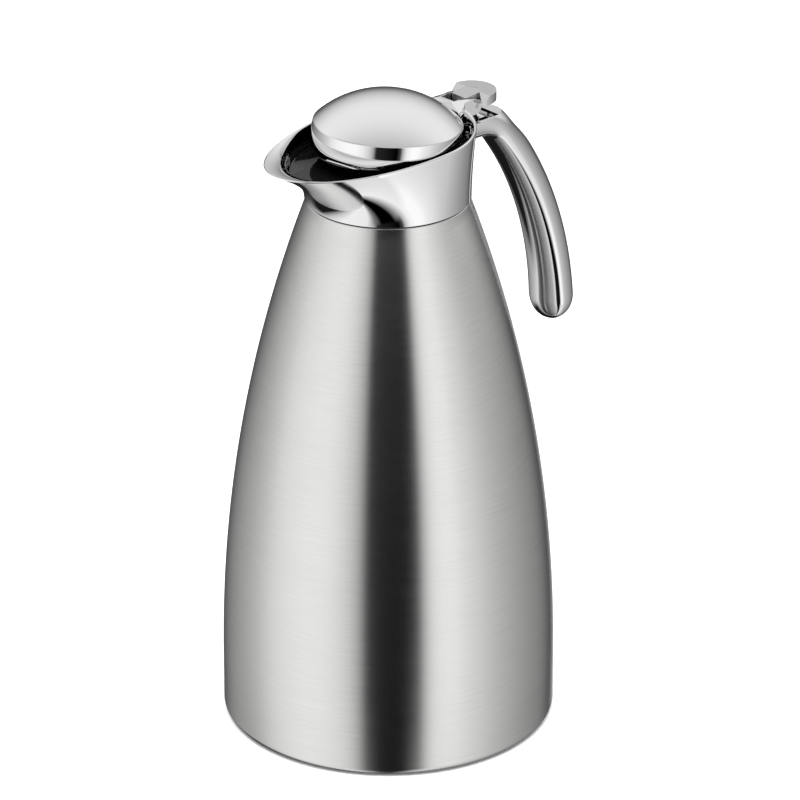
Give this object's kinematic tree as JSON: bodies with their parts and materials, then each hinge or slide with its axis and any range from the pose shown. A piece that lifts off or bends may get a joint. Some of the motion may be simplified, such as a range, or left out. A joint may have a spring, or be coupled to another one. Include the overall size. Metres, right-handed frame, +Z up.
{
  "type": "vacuum jug",
  "caption": "Insulated pouring jug with a tapering steel body, flared spout collar, open-ended handle and a domed lid on a rear hinge opened by a thumb lever.",
  "frame": {"origin": "middle of the base, on the surface that the jug stands on", "axes": "+Z up along the jug's axis, +X towards the handle, -X towards the spout, +Y completes the right-handed frame"},
  "size_m": [0.1748, 0.142, 0.2826],
  "materials": {
    "brushed_shell": "fine circumferential brushing, satin",
    "chrome_plate": "polished chrome plate",
    "satin_chrome": "satin chrome plate",
    "steel": "bright turned steel",
    "black_gloss": "glossy moulded plastic",
    "black_plastic": "fine moulded texture",
    "black_rubber": "matt rubber",
    "silicone": "translucent grey silicone rubber",
    "silvered_glass": "glass silvered on its vacuum side",
    "spacer_felt": "pressed felt",
    "foam": "expanded foam"
  },
  "bodies": {
    "jug": {"outer_shell": "brushed_shell", "base_ring": "black_plastic", "base_plate": "black_plastic", "foot_ring": "black_rubber", "flask_cushion": "black_rubber", "flask_outer": "silvered_glass", "flask_inner": "silvered_glass", "flask_spacers": "spacer_felt", "neck_seal": "silicone", "pour_liner": "black_gloss", "clamp_nut": "black_plastic", "joint_gasket": "black_rubber", "collar": "chrome_plate", "handle": "chrome_plate", "handle_screws": "steel", "hinge_pin": "steel", "lid_spring": "steel"},
    "lid": {"lid_cap": "chrome_plate", "lid_foam": "foam", "lid_stopper": "black_gloss", "lid_gasket": "silicone", "gasket_retainer": "black_plastic", "retainer_screw": "steel", "lid_bracket": "chrome_plate", "bracket_screws": "steel", "lever_pin": "steel", "lever_spring": "steel"},
    "lever": {"thumb_lever": "satin_chrome"}
  },
  "joints": [
    {"name": "lid_hinge", "type": "hinge", "parent": "jug", "child": "lid", "pos_m": [0.0425, 0, 0.2576], "axis": [0, 1, 0], "range_deg": [0, 62], "stiffness_Nm_per_rad": 0.03, "springref_deg": -34.38},
    {"name": "lever_pivot", "type": "hinge", "parent": "lid", "child": "lever", "pos_m": [0.0441, 0, 0.2668], "axis": [0, -1, 0], "range_deg": [0, 62]}
  ],
  "couplings": [
    {"joint": "lever_pivot", "follows": "lid_hinge", "ratio": 1}
  ]
}
